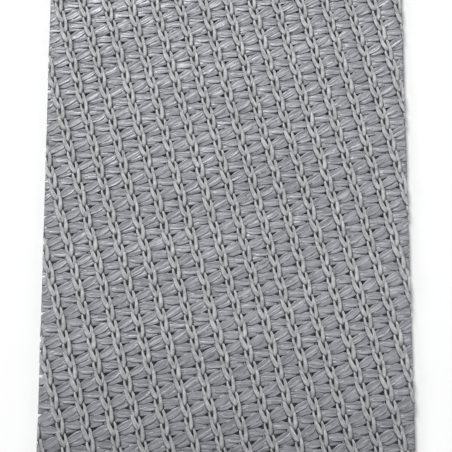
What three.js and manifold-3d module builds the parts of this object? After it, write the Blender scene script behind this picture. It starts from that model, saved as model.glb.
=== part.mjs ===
// A cut length of knitted privacy-screen cloth, lying flat on its back. Millimetres, +Z up.
// Pillars of chain stitches, the wales, stand up as ribs on a layer of crosswise tapes.
// The length is cut askew to the knit, so the wales run across it at a slant.
import * as THREE from "three";
import { mergeVertices } from "three/addons/utils/BufferGeometryUtils.js";
import Module from "manifold-3d";

const wasm = await Module();
wasm.setup();

// Driving dimensions
const waleGauge = 25.4 / 6; // one needle of a six-per-inch machine to the next
const walesAcross = 15; // counted square to the long sides
const cutWidth = walesAcross * waleGauge;
const cutLength = 90;
const waleSlant = THREE.MathUtils.degToRad(14.8); // wales to the long sides, feet to the right
const tapeLayer = 1.0; // the chains' backs and the crosswise tapes held above them
const ribWidth = 1.9;
const ribHeight = 0.6; // the chain stitches, over the tapes
const ribSteps = 8; // flats round each rib

const clothMaterial = new THREE.MeshStandardMaterial({
  name: "knitted_tape",
  color: new THREE.Color(0.57, 0.57, 0.58),
  roughness: 0.5,
  metalness: 0,
});

// Half the sheet's reach across the slanted wales, in whole wales, with one to spare
function walesEachWay() {
  const reach =
    (cutWidth / 2) * Math.cos(waleSlant) + (cutLength / 2) * Math.sin(waleSlant);
  return Math.ceil(reach / waleGauge) + 1;
}

// The knit cut straight across its wales: flat below, one rib for each wale above
function knitSection() {
  const wales = walesEachWay();
  const edge = wales * waleGauge;
  const section = new THREE.Shape();
  section.moveTo(-edge, 0);
  section.lineTo(edge, 0);
  section.lineTo(edge, tapeLayer);
  for (let wale = wales - 1; wale >= -wales; wale -= 1) {
    const middle = (wale + 0.5) * waleGauge;
    section.lineTo(middle + ribWidth / 2, tapeLayer);
    section.absellipse(middle, tapeLayer, ribWidth / 2, ribHeight, 0, Math.PI, false, 0);
  }
  section.lineTo(-edge, tapeLayer);
  section.closePath();
  return section;
}

// Knit longer than the sheet, its wales turned to their slant
function knitRun() {
  const run = 2 * (cutLength + cutWidth);
  const knit = new THREE.ExtrudeGeometry(knitSection(), {
    depth: run,
    steps: 1,
    bevelEnabled: false,
    curveSegments: ribSteps,
  });
  knit.translate(0, 0, -run / 2);
  knit.rotateX(Math.PI / 2);
  knit.rotateZ(waleSlant);
  return knit;
}

// What the shears leave: the rectangle of the cut length, taller than the cloth both ways
function cutOutline() {
  const height = 4 * (tapeLayer + ribHeight);
  return new THREE.BoxGeometry(cutWidth, cutLength, height);
}

function toSolid(geometry) {
  const bare = geometry.clone();
  bare.deleteAttribute("normal");
  bare.deleteAttribute("uv");
  const merged = mergeVertices(bare, 1e-4);
  return new wasm.Manifold(
    new wasm.Mesh({
      numProp: 3,
      vertProperties: new Float32Array(merged.attributes.position.array),
      triVerts: new Uint32Array(merged.index.array),
    }),
  );
}

function toGeometry(solid) {
  const { vertProperties, triVerts } = solid.getMesh();
  const geometry = new THREE.BufferGeometry();
  geometry.setAttribute("position", new THREE.BufferAttribute(vertProperties, 3));
  geometry.setIndex(new THREE.BufferAttribute(triVerts, 1));
  geometry.computeVertexNormals();
  return geometry;
}

const screenCloth = new THREE.Mesh(
  toGeometry(toSolid(knitRun()).intersect(toSolid(cutOutline()))),
  clothMaterial,
);
screenCloth.name = "screen_cloth";

const group = new THREE.Group();
group.add(screenCloth);
export default group;
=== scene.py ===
import math

import bmesh
import bpy
import numpy as np
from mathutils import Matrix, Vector


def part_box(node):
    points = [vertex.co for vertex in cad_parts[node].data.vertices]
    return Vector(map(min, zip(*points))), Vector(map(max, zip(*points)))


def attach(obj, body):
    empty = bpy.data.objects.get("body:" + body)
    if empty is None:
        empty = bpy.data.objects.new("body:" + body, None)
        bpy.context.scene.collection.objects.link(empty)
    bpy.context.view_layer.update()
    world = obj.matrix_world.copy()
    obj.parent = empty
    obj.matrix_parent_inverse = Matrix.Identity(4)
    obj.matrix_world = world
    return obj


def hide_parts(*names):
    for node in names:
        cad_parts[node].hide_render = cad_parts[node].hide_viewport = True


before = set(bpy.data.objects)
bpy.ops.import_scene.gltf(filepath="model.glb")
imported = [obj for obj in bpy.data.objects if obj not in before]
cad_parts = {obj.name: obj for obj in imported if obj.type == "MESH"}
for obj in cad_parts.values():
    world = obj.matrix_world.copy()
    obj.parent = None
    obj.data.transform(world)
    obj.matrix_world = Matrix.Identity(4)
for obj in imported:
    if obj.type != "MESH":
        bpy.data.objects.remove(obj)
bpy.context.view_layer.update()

mm = 0.001
low, high = (Vector(corner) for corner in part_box("screen_cloth"))
middle = (low + high) / 2

# The knit: wales run up the cloth at a slant, courses run square across them
knit = {
    "gauge": 25.4 / 6 * mm,
    "course": 2.05 * mm,
    "slant": math.radians(14.8),
    "waleShift": 0.545,  # of a gauge: the middle of the cloth lies near the middle of a gap
    "courseShift": -0.60,  # of a course
    "bow": 0.45,  # of a course: how far the courses are pushed up half way along
    "bowReach": 39 * mm,
    "sag": 0.33,  # of a course: how far they rise towards the sides, from sagPlace
    "sagPlace": 6 * mm,
    "sagReach": 34 * mm,
    "margin": 2,  # courses knitted past each cut edge, then trimmed
    "rise": 0.11 * mm,  # how far the cloth lifts and falls as it lies
    # slow waves in each direction: how many, shortest, longest and how far the cloth strays
    "strayAcross": (7, 9 * mm, 40 * mm, 0.05 * mm),
    "strayAlong": (7, 8 * mm, 35 * mm, 0.05 * mm),
    "strayUp": (9, 14 * mm, 50 * mm, 0.11 * mm),
    "leastWave": 0.5,  # the flattest wave, as a share of the tallest
    "leastLength": 1e-12,  # a way this short is left as long as it is
    "seed": 11,
}
random = np.random.default_rng(knit["seed"])


# Slow waves over the cloth, so that no two wales or courses run quite alike
def makeDrift(count, shortest, longest, size):
    heading = random.uniform(0, 2 * math.pi, count)
    length = random.uniform(shortest, longest, count)
    start = random.uniform(0, 2 * math.pi, count)
    tall = random.uniform(knit["leastWave"], 1, count) * size / math.sqrt(count)

    def drift(across, along):
        strayed = 0 * across
        for turn, wave, phase, share in zip(heading, length, start, tall):
            reach = across * math.cos(turn) + along * math.sin(turn)
            strayed = strayed + share * np.sin(2 * math.pi * reach / wave + phase)
        return strayed

    return drift


driftAcross = makeDrift(*knit["strayAcross"])
driftAlong = makeDrift(*knit["strayAlong"])
driftUp = makeDrift(*knit["strayUp"])


# From wales and courses to metres across and along the knit
def inKnit(wales, courses):
    course, slant = knit["course"], knit["slant"]
    across = (wales + knit["waleShift"]) * knit["gauge"]
    along = (courses + knit["courseShift"]) * course
    side = across * math.cos(slant) - along * math.sin(slant) - knit["sagPlace"]
    along = along + knit["bow"] * course * (1 - (along / knit["bowReach"]) ** 2)
    along = along + knit["sag"] * course * (side / knit["sagReach"]) ** 2
    return across + driftAcross(across, along), along + driftAlong(across, along)


# From the knit's own directions to the cloth's
def inCloth(across, along, height):
    turn = knit["slant"]
    x = middle.x + across * math.cos(turn) - along * math.sin(turn)
    y = middle.y + across * math.sin(turn) + along * math.cos(turn)
    return np.stack([x, y, low.z + height + knit["rise"] + driftUp(across, along)], -1)


# First and last course of these wales that the cut length holds
def coursesOver(waleNumbers):
    halfWide, halfLong = (high.x - low.x) / 2, (high.y - low.y) / 2
    cosine, sine = math.cos(knit["slant"]), math.sin(knit["slant"])
    ends = []
    for wale in waleNumbers:
        across = (wale + knit["waleShift"]) * knit["gauge"]
        # how far along the wale it crosses the cloth's two sides, and its two ends
        sides = sorted((across * cosine - side) / sine for side in (-halfWide, halfWide))
        tips = sorted((tip - across * sine) / cosine for tip in (-halfLong, halfLong))
        start, stop = max(sides[0], tips[0]), min(sides[1], tips[1])
        if start < stop:
            ends.extend((start / knit["course"], stop / knit["course"]))
    if not ends:
        return None
    return math.floor(min(ends)) - knit["margin"], math.ceil(max(ends)) + knit["margin"]


# Every wale whose strand, this many wales wide, reaches the piece, with its courses
def walesInReach(spread):
    reach = math.ceil((high - low).length / knit["gauge"])
    found = []
    for wale in range(-reach, reach):
        courses = coursesOver(range(wale, wale + spread))
        if courses:
            found.append((wale, *courses))
    return found


def unit(rows):
    return rows / np.maximum(np.linalg.norm(rows, axis=-1, keepdims=True), knit["leastLength"])


# The ways across a run of centres and into its back, given roughly the way across
def facesOf(centres, sides):
    forward = unit(np.gradient(centres, axis=0))
    sides = unit(sides - (sides * forward).sum(1, keepdims=True) * forward)
    return sides, np.cross(sides, forward)


# How a strand starts as a flat grid, and how it lies in its maps
laying = {
    "gridHalf": 0.5,
    "apart": 10,  # mm between one strand and the next in the map "tape"
    "bare": 0.04,  # of a row, left bare at each of its sides in the map "OFBake"
    "merge": 1e-8,  # points closer than this are one
    "onBlade": 1e-9,  # a point this near a cut lies on it
    "scrap": 1.2 * mm,  # an offcut shorter than this falls out
}


# Which ring along the strand and which place across it a point of its grid stands for
def spotOf(vert, along, across):
    ring = round((vert.co.x + laying["gridHalf"]) * (along - 1))
    place = round((vert.co.y + laying["gridHalf"]) * (across - 1))
    return ring, place


# A strip from a grid: x of the grid runs along the strand and y across it. The map "tape", for the
# finish, is in millimetres of strand. "OFBake", for baking, lays the strand out in rows of its own.
def layStrip(rings, width, strand, strands, rows, closed):
    along, across = rings.shape[:2]
    strip = bmesh.new()
    for name in ("tape", "OFBake"):
        strip.loops.layers.uv.new(name)
    tapeMap, rowMap = (strip.loops.layers.uv[name] for name in ("tape", "OFBake"))
    bmesh.ops.create_grid(strip, x_segments=along - 1, y_segments=across - 1, size=laying["gridHalf"])
    steps = np.linalg.norm(np.diff(rings.mean(1), axis=0), axis=1)
    travelled = np.append(0, np.cumsum(steps)) / mm
    rowLength = math.ceil((along - 1) / rows)
    covered = 1 - 2 * laying["bare"]
    # the maps come first, while the grid is flat and its places can still be counted
    for face in strip.faces:
        spots = [spotOf(loop.vert, along, across) for loop in face.loops]
        row = min(ring for ring, place in spots) // rowLength
        for loop, (ring, place) in zip(face.loops, spots):
            share = place / (across - 1)
            loop[tapeMap].uv = (travelled[ring], share * width / mm + laying["apart"] * strand)
            loop[rowMap].uv = (
                (ring - row * rowLength) / rowLength,
                (strand * rows + row + laying["bare"] + covered * share) / (strands * rows),
            )
    for vert in strip.verts:
        vert.co = rings[spotOf(vert, along, across)]
    if closed:
        bmesh.ops.remove_doubles(strip, verts=strip.verts, dist=laying["merge"])
    shearEdges(strip)
    dropScraps(strip)
    if closed:
        bmesh.ops.holes_fill(strip, edges=[edge for edge in strip.edges if edge.is_boundary], sides=0)
        bmesh.ops.recalc_face_normals(strip, faces=strip.faces)
    return strip


# Shears along the four sides of the cut length
def shearEdges(strip):
    for axis in (0, 1):
        for corner, way in ((low, -1), (high, 1)):
            normal = Vector((0, 0, 0))
            normal[axis] = way
            bmesh.ops.bisect_plane(
                strip, geom=strip.verts[:] + strip.edges[:] + strip.faces[:], dist=laying["onBlade"],
                plane_co=corner, plane_no=normal, clear_outer=True,
            )


# Offcuts too short to be held by the knit
def dropScraps(strip):
    waiting = set(strip.verts)
    scraps = []
    while waiting:
        stack = [waiting.pop()]
        island = []
        while stack:
            vert = stack.pop()
            island.append(vert)
            near = {edge.other_vert(vert) for edge in vert.link_edges} & waiting
            waiting -= near
            stack.extend(near)
        spread = np.ptp([vert.co for vert in island], axis=0)
        if max(spread[:2]) < laying["scrap"]:
            scraps.extend(island)
    bmesh.ops.delete(strip, geom=scraps, context="VERTS")


def joinStrips(name, strips):
    whole = bmesh.new()
    for strip in strips:
        part = bpy.data.meshes.new("part")
        strip.to_mesh(part)
        strip.free()
        whole.from_mesh(part)
        bpy.data.meshes.remove(part)
    mesh = bpy.data.meshes.new(name)
    whole.to_mesh(mesh)
    whole.free()
    mesh.polygons.foreach_set("use_smooth", [True] * len(mesh.polygons))
    piece = bpy.data.objects.new(name, mesh)
    bpy.context.collection.objects.link(piece)
    return piece


# Every strand of a kind, shared out over a few pieces
def makeStrands(name, settings, ringsOf):
    wales = walesInReach(settings["walesWide"])
    pieces = []
    for number in range(settings["pieces"]):
        own = wales[number::settings["pieces"]]
        strips = [
            layStrip(*ringsOf(*wale), strand, len(own), settings["bakeRows"], settings["closed"])
            for strand, wale in enumerate(own)
        ]
        pieces.append(joinStrips(f"{name}_{number + 1}", strips))
    return pieces


# A column of random values that change evenly between knots, with a knot every so many rings
def slowly(count, every, lowest, highest):
    knots = np.arange(0, count + 2 * every, every)
    values = random.uniform(lowest, highest, len(knots))
    return np.interp(np.arange(count), knots, values)[:, None]


# The pillars of chain stitches. One stitch, for a loop whose broad leg is on its left: x, along, z,
# width, thick and side. along is in courses and the rest in mm, but side is -1 on the left leg, 1 on
# the right and between them over the head.
chain = {
    "stitch": (
        (0.05, -0.35, 0.95, 0.30, 0.12, 1.0),  # up through the loop before
        (0.09, -0.31, 1.22, 0.34, 0.12, 1.0),
        (0.175, -0.22, 1.37, 0.46, 0.12, 1.0),
        (0.299, -0.10, 1.42, 0.54, 0.13, 1.0),
        (0.412, 0.02, 1.44, 0.58, 0.14, 1.0),
        (0.484, 0.15, 1.45, 0.59, 0.15, 1.0),
        (0.515, 0.32, 1.45, 0.55, 0.16, 1.0),
        (0.50, 0.47, 1.44, 0.47, 0.16, 1.0),
        (0.469, 0.60, 1.41, 0.39, 0.16, 1.0),
        (0.433, 0.71, 1.37, 0.32, 0.14, 0.9),  # over the head
        (0.34, 0.82, 1.28, 0.26, 0.14, 0.6),
        (0.14, 0.92, 1.12, 0.28, 0.14, 0.2),
        (-0.20, 1.00, 1.04, 0.28, 0.14, -0.2),
        (-0.48, 1.09, 1.12, 0.24, 0.14, -0.6),
        (-0.639, 1.12, 1.26, 0.24, 0.12, -0.9),
        (-0.649, 1.04, 1.38, 0.30, 0.13, -1.0),
        (-0.618, 0.95, 1.425, 0.40, 0.14, -1.0),  # down the broad leg
        (-0.577, 0.84, 1.44, 0.51, 0.15, -1.0),
        (-0.55, 0.72, 1.45, 0.62, 0.16, -1.0),
        (-0.515, 0.57, 1.46, 0.71, 0.17, -1.0),
        (-0.465, 0.40, 1.475, 0.77, 0.18, -1.0),
        (-0.395, 0.22, 1.49, 0.81, 0.18, -1.0),
        (-0.295, 0.03, 1.50, 0.80, 0.18, -1.0),
        (-0.205, -0.12, 1.50, 0.73, 0.18, -1.0),
        (-0.13, -0.24, 1.49, 0.60, 0.17, -1.0),
        (-0.08, -0.34, 1.43, 0.42, 0.16, -1.0),
        (-0.05, -0.39, 0.90, 0.28, 0.16, -1.0),  # round to the back
        (-0.03, -0.24, 0.26, 0.50, 0.16, -1.0),
        (0.04, 0.10, 0.14, 0.80, 0.16, -1.0),
        (0.02, 0.45, 0.14, 0.80, 0.16, -1.0),
    ),
    "outer": 11,  # points over a strand's outer face
    "inner": 2,  # and over its inner one
    "squareness": 8,  # how far a face stays flat before it turns over its edge
    "groove": 0.9,  # depth of the fold down the middle, as a share of the thickness
    "grooveSteepness": 4,
    "unevenStitch": 0.03,
    "unevenPoint": 0.010,
    # what the unevenness of a stitch does to all its points, and that of a point to its own width
    "shifts": 0.6,  # mm
    "stretches": 0.5,
    "fattens": 1.5,
    "rolls": 2,
    "pointFattens": 2,
    # rings between changes, least and most
    "foldPlace": (7, -0.3, 0.3),
    "foldWidth": (9, 0.9, 1.4),
    "foldDepth": (5, 0.5, 1.3),
    "girth": 2.2,  # way round a strand, as a share of its width
    "closed": True,  # a strand is solid
    "walesWide": 1,
    "bakeRows": 4,
    "pieces": 3,
}


def chainRings(wale, first, last):
    stitches = []
    for course in range(first, last + 1):
        x, along, z, width, thick, side = np.array(chain["stitch"]).T
        mirror = 1 if course % 2 == 0 else -1  # the broad leg changes sides with each course
        spread, shift, stretch, fatness, tilt = random.normal(0, chain["unevenStitch"], 5)
        strayX, strayZ, strayWidth = random.normal(0, chain["unevenPoint"], (3, len(x)))
        x = mirror * (x * (1 + spread) + chain["shifts"] * shift + strayX)
        width = width * (1 + chain["fattens"] * fatness + chain["pointFattens"] * strayWidth)
        roll = np.full(len(x), chain["rolls"] * tilt)
        along = along * (1 + chain["stretches"] * stretch) + course
        stitches.append(np.stack([x, along, z + strayZ, width, thick, mirror * side, roll]))
    x, along, z, width, thick, side, roll = np.hstack(stitches)
    count = len(x)
    across, along = inKnit(wale + x * mm / knit["gauge"], along)
    centres = np.stack([across, along, z * mm], -1)
    # the strand's face stays outwards, so the way across it turns half round over the head
    turn = -math.pi / 2 * (1 + side)
    ways = np.stack([np.cos(turn), np.sin(turn), roll * np.sign(side)], -1)
    sideways, inwards = facesOf(centres, ways)
    # places over the outer face, back over the inner one, and the first again
    outer = np.linspace(1, -1, chain["outer"])
    inner = np.linspace(-1, 1, chain["inner"] + 2)[1:-1]
    places = np.concatenate([outer, inner, outer[:1]])
    isOuter = np.arange(len(places)) < chain["outer"]
    swell = np.sqrt(1 - places ** chain["squareness"]) * np.where(isOuter, -1, 1)
    # the fold down the outer face wanders, widens and deepens along the strand
    fold = slowly(count, *chain["foldPlace"]) + places * slowly(count, *chain["foldWidth"])
    depth = chain["groove"] * slowly(count, *chain["foldDepth"]) * isOuter
    swell = swell * (1 - depth * np.cos(math.pi * fold) ** chain["grooveSteepness"])
    wide = (width * mm / 2)[:, None] * places
    tall = (thick * mm / 2)[:, None] * swell
    rings = centres[:, None] + sideways[:, None] * wide[..., None]
    rings = rings + inwards[:, None] * tall[..., None]
    rings[..., 2] = np.maximum(rings[..., 2], 0)  # no strand hangs below the cloth
    return inCloth(rings[..., 0], rings[..., 1], rings[..., 2]), chain["girth"] * width.mean() * mm


chains = makeStrands("chain_stitches", chain, chainRings)
print("chains:", [len(piece.data.polygons) for piece in chains])


# The crosswise tapes. One there-and-back swing over two gaps, from the wale on which the tape turns:
# place in wales, along in courses, width, height and tilt in mm. tilt lifts the edge nearer the start.
tape = {
    "route": (
        (0.09, -0.42, 1.10, 0.44, 0.01),  # tucked under the broad leg
        (0.17, -0.24, 0.66, 0.82, 0.01),
        (0.27, -0.18, 0.86, 0.98, 0.02),
        (0.40, -0.17, 1.39, 1.09, 0.02),
        (0.57, -0.11, 1.54, 1.09, 0.02),
        (0.74, -0.04, 1.56, 1.07, 0.02),
        (0.87, 0.00, 1.38, 0.98, 0.02),
        (1.00, 0.03, 0.88, 0.76, 0.02),  # held by the next wale
        (1.13, 0.05, 0.96, 0.98, 0.02),
        (1.26, 0.11, 1.24, 1.05, 0.02),
        (1.43, 0.22, 1.48, 1.09, 0.02),
        (1.60, 0.34, 1.46, 1.09, 0.02),
        (1.73, 0.45, 1.06, 1.02, 0.02),
        (1.83, 0.52, 0.66, 0.80, 0.01),
        (1.91, 0.76, 1.10, 0.44, 0.00),  # tucked under the next but one
        (1.83, 1.00, 0.66, 0.70, 0.00),
        (1.73, 1.04, 0.92, 0.78, 0.00),
        (1.60, 0.95, 1.41, 1.00, 0.00),
        (1.43, 0.94, 1.56, 1.09, 0.00),
        (1.26, 0.96, 1.50, 1.05, 0.01),
        (1.13, 0.97, 1.36, 0.98, 0.01),
        (1.00, 1.03, 0.88, 0.76, 0.02),  # held again on the way back
        (0.87, 1.10, 1.10, 0.98, 0.02),
        (0.74, 1.10, 1.24, 1.04, 0.02),
        (0.57, 1.21, 1.50, 1.09, 0.02),
        (0.40, 1.31, 1.44, 1.09, 0.02),
        (0.27, 1.36, 0.88, 0.98, 0.02),
        (0.17, 1.42, 0.64, 0.78, 0.01),
    ),
    "points": 12,  # over a tape's width
    "creases": ((2.2, 0.015), (4.2, 0.014), (8.0, 0.016), (12.0, 0.012)),  # how close, and height in mm
    "ripple": 0.024,  # mm: the film leans one way and the other once a course
    "rippleStart": 0.08,
    "unevenTilt": 0.024,  # mm
    "curl": 0.006,  # mm: both long edges bend down
    "curlSteepness": 4,
    "unevenWidth": 0.10,
    "unevenPlace": 0.032,  # mm
    "unevenHeight": 0.5,  # as a share of the unevenness in place
    # rings between changes, least and most
    "widthChange": (5, -1.7, 1.7),
    "placeChange": (7, -1.5, 1.5),
    "tiltChange": (7, -1, 1),
    "curlChange": (6, 0, 2),
    "creasePlace": (7, -1.4, 1.4),
    "creaseHeight": (4, 0.2, 1.8),
    "thick": 0.04 * mm,
    "cover": 1.3,  # film that goes into each square metre of cloth
    "closed": False,  # a strand is an open film, which gets its thickness later
    "walesWide": 3,
    "bakeRows": 10,
    "pieces": 3,
}


def tapeRings(wale, first, last):
    route = np.array(tape["route"])
    swings = []
    for course in range(first - first % 2, last + 1, 2):  # there and back takes two courses
        swing = route.copy()
        swing[:, 1] += course
        swings.append(swing)
    place, along, width, height, tilt = np.vstack(swings).T
    count = len(place)
    full = width / max(route[:, 2])  # a tape strays and tilts least where it is pinched
    strayAcross, strayAlong, strayUp = random.normal(0, tape["unevenPlace"], (3, count)) * full * mm
    width = width * (1 + tape["unevenWidth"] * slowly(count, *tape["widthChange"])[:, 0])
    strayAlong = strayAlong + tape["unevenPlace"] * mm * slowly(count, *tape["placeChange"])[:, 0]
    courses = along + strayAlong / knit["course"]
    across, along = inKnit(wale + place + strayAcross / knit["gauge"], courses)
    centres = np.stack([across, along, height * mm + tape["unevenHeight"] * strayUp], -1)
    forward = np.gradient(centres, axis=0)
    level = np.zeros_like(forward)
    level[:, 0], level[:, 1] = -forward[:, 1], forward[:, 0]
    sideways = facesOf(centres, level)[0]
    farEdge = np.sign(sideways[:, 1])[:, None]  # the edge further from the start
    spots = np.linspace(-1, 1, tape["points"])
    tilt = (tilt + tape["unevenTilt"] * full * slowly(count, *tape["tiltChange"])[:, 0])[:, None]
    curl = tape["curl"] * slowly(count, *tape["curlChange"])
    tall = -farEdge * spots * tilt - curl * spots ** tape["curlSteepness"]
    # creases are straight slopes with sharp tops, and they wander over the tape
    for often, size in tape["creases"]:
        phase = random.uniform(0, 2 * math.pi) + slowly(count, *tape["creasePlace"])
        wave = 2 / math.pi * np.arcsin(np.sin(often * spots + phase))
        tall = tall + size * slowly(count, *tape["creaseHeight"]) * wave
    wide = (width * mm / 2)[:, None] * spots
    rings = centres[:, None] + sideways[:, None] * wide[..., None]
    courses = courses[:, None] + sideways[:, 1:2] * wide / knit["course"] - tape["rippleStart"]
    tall = tall - tape["ripple"] * np.sin(2 * math.pi * courses)
    rings[..., 2] += tall * mm
    rings[..., 2] = np.maximum(rings[..., 2], tape["thick"])
    return inCloth(rings[..., 0], rings[..., 1], rings[..., 2]), width.mean() * mm


tapes = makeStrands("inlaid_tapes", tape, tapeRings)
for piece in tapes:
    film = piece.modifiers.new("film", "SOLIDIFY")
    film.thickness = tape["thick"]
    film.offset = 0
print("tapes:", [len(piece.data.polygons) for piece in tapes])


# Painted shade: the colour darkens towards the lower end of the cloth, standing in for light that falls
# off there
paintedShadeEnd = {"reach": 40 * mm, "depth": 0.27, "steepness": 2}  # the tone falls towards the lower end
noiseDetail = 3
rampEnds = (0.38, 0.62)  # the noise at which a strand is darkest and lightest
# Streaks and crumples are so many to the millimetre along a strand and across it
finishes = {
    "chain": {
        "dark": (0.272, 0.272, 0.282), "light": (0.502, 0.502, 0.512), "roughness": 0.5,
        "streaks": (0.6, 2.2, 1), "streakBump": 0.05 * mm,
        "crumples": (1.3, 1.3, 1), "crumpleBump": 0.06 * mm, "crumpleShare": 0.45,
    },
    "film": {
        "dark": (0.193, 0.196, 0.211), "light": (0.327, 0.33, 0.35), "roughness": 0.38,
        "streaks": (0.3, 2.8, 1), "streakBump": 0.045 * mm,
        "crumples": (0.4, 0.9, 1), "crumpleBump": 0.14 * mm, "crumpleShare": 0.45,
    },
}


def newMaterial(name):
    material = bpy.data.materials.new(name)
    material.use_nodes = True
    return material, material.node_tree.nodes, material.node_tree.links


# Noise over a strand, stretched along and across it
def strandNoise(nodes, links, scale):
    place = nodes.new("ShaderNodeUVMap")
    place.uv_map = "tape"
    stretch = nodes.new("ShaderNodeMapping")
    stretch.inputs["Scale"].default_value = scale
    noise = nodes.new("ShaderNodeTexNoise")
    noise.inputs["Scale"].default_value = 1
    noise.inputs["Detail"].default_value = noiseDetail
    links.new(place.outputs["UV"], stretch.inputs["Vector"])
    links.new(stretch.outputs["Vector"], noise.inputs["Vector"])
    return noise.outputs["Fac"]


# Painted shade: how much of its colour the cloth keeps at each place along it, less towards the lower
# end where the light falls off
def paintedShadeShare(nodes, links):
    place = nodes.new("ShaderNodeTexCoord")
    split = nodes.new("ShaderNodeSeparateXYZ")
    near = nodes.new("ShaderNodeMapRange")
    near.inputs["From Min"].default_value = low.y
    near.inputs["From Max"].default_value = low.y + paintedShadeEnd["reach"]
    near.inputs["To Min"].default_value = 1
    near.inputs["To Max"].default_value = 0
    eased = nodes.new("ShaderNodeMath")
    eased.operation = "POWER"
    eased.inputs[1].default_value = paintedShadeEnd["steepness"]
    shadeShare = nodes.new("ShaderNodeMath")
    shadeShare.operation = "MULTIPLY_ADD"
    shadeShare.inputs[1].default_value = -paintedShadeEnd["depth"]
    shadeShare.inputs[2].default_value = 1
    links.new(place.outputs["Object"], split.inputs["Vector"])
    links.new(split.outputs["Y"], near.inputs["Value"])
    links.new(near.outputs["Result"], eased.inputs[0])
    links.new(eased.outputs["Value"], shadeShare.inputs[0])
    return shadeShare.outputs["Value"]


# Drawn tape: streaks and crumples in its colour and its surface, with painted shade darkening it
# towards the lower end
def strandFinish(name, look):
    material, nodes, links = newMaterial(name)
    shader = nodes["Principled BSDF"]
    shader.inputs["Roughness"].default_value = look["roughness"]
    mix = nodes.new("ShaderNodeMix")
    mix.inputs["Factor"].default_value = look["crumpleShare"]
    ramp = nodes.new("ShaderNodeValToRGB")
    for end, position, shade in zip(ramp.color_ramp.elements, rampEnds, ("dark", "light")):
        end.position = position
        end.color = (*look[shade], 1)
    normal = None
    for socket, kind in (("A", "streak"), ("B", "crumple")):
        noise = strandNoise(nodes, links, look[kind + "s"])
        links.new(noise, mix.inputs[socket])
        bump = nodes.new("ShaderNodeBump")
        bump.inputs["Distance"].default_value = look[kind + "Bump"]
        links.new(noise, bump.inputs["Height"])
        if normal:
            links.new(normal, bump.inputs["Normal"])
        normal = bump.outputs["Normal"]
    links.new(mix.outputs["Result"], ramp.inputs["Fac"])
    # the colour is darkened by the painted shade towards the lower end
    shadedColor = nodes.new("ShaderNodeVectorMath")
    shadedColor.operation = "SCALE"
    links.new(ramp.outputs["Color"], shadedColor.inputs["Vector"])
    links.new(paintedShadeShare(nodes, links), shadedColor.inputs["Scale"])
    links.new(shadedColor.outputs["Vector"], shader.inputs["Base Color"])
    links.new(normal, shader.inputs["Normal"])
    return material


for pieces, finish in ((chains, "chain"), (tapes, "film")):
    material = strandFinish(finish + "_tape", finishes[finish])
    for piece in pieces:
        piece.data.materials.append(material)
        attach(piece, "root")
        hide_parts("screen_cloth")
print("finishes done")


# The floor, the lights and the camera
stage = {
    "floorSize": 3.0,
    "floorColor": (0.88, 0.88, 0.88, 1),
    "floorRoughness": 0.9,
    "worldColor": (0.92, 0.94, 0.97, 1),
    "worldStrength": 0.16,
    "backdropStrength": 0.9,  # what is seen past the floor
    "viewWide": 18.56,  # gauges across the camera's view
    "tilt": math.radians(11),
    "lens": 92.9,
    "sensor": 36.0,
    "clip": (0.01, 20),
    "gap": 0.02 * mm,  # between the floor and the cloth
    "lights": (  # name, place, size, energy
        ("key", (-0.47, 1.65, 1.35), 0.77, 64.4),
        ("left_fill", (-0.96, 0.0, 0.60), 0.5, 2.6),
        ("right_fill", (0.4, 0.0, 0.25), 0.25, 0.34),
    ),
}


def makeFloor():
    shape = bmesh.new()
    bmesh.ops.create_grid(shape, x_segments=1, y_segments=1, size=stage["floorSize"] / 2)
    mesh = bpy.data.meshes.new("floor")
    shape.to_mesh(mesh)
    shape.free()
    floor = bpy.data.objects.new("floor", mesh)
    floor.location.z = low.z - stage["gap"]
    bpy.context.collection.objects.link(floor)
    material, nodes, links = newMaterial("pale_floor")
    shader = nodes["Principled BSDF"]
    shader.inputs["Base Color"].default_value = stage["floorColor"]
    shader.inputs["Roughness"].default_value = stage["floorRoughness"]
    mesh.materials.append(material)


def aim(thing, place, target):
    thing.location = place
    ahead = Vector(target) - Vector(place)
    thing.rotation_euler = ahead.to_track_quat("-Z", "Y").to_euler()


def makeLight(name, place, size, energy):
    data = bpy.data.lights.new(name, "AREA")
    data.size = size
    data.energy = energy
    light = bpy.data.objects.new(name, data)
    bpy.context.collection.objects.link(light)
    aim(light, place, middle)


def makeCamera():
    data = bpy.data.cameras.new("camera")
    data.lens = stage["lens"]
    data.sensor_width = stage["sensor"]
    data.clip_start, data.clip_end = stage["clip"]
    camera = bpy.data.objects.new("camera", data)
    bpy.context.collection.objects.link(camera)
    distance = stage["lens"] / stage["sensor"] * stage["viewWide"] * knit["gauge"]
    target = Vector((middle.x, middle.y, high.z))
    back = Vector((0, -math.sin(stage["tilt"]), math.cos(stage["tilt"])))
    aim(camera, target + distance * back, target)
    bpy.context.scene.camera = camera


# A dim sky lights the cloth, and a pale backdrop stands in its place past the floor
def makeWorld():
    world = bpy.data.worlds.new("studio")
    world.use_nodes = True
    nodes, links = world.node_tree.nodes, world.node_tree.links
    sky = nodes["Background"]
    sky.inputs["Color"].default_value = stage["worldColor"]
    sky.inputs["Strength"].default_value = stage["worldStrength"]
    backdrop = nodes.new("ShaderNodeBackground")
    backdrop.inputs["Color"].default_value = stage["worldColor"]
    backdrop.inputs["Strength"].default_value = stage["backdropStrength"]
    rays = nodes.new("ShaderNodeLightPath")
    mix = nodes.new("ShaderNodeMixShader")
    links.new(rays.outputs["Is Camera Ray"], mix.inputs["Fac"])
    links.new(sky.outputs["Background"], mix.inputs[1])
    links.new(backdrop.outputs["Background"], mix.inputs[2])
    links.new(mix.outputs["Shader"], nodes["World Output"].inputs["Surface"])
    bpy.context.scene.world = world
    bpy.context.scene.view_settings.view_transform = "Standard"


makeFloor()
for light in stage["lights"]:
    makeLight(*light)
makeWorld()
makeCamera()
print("stage done")
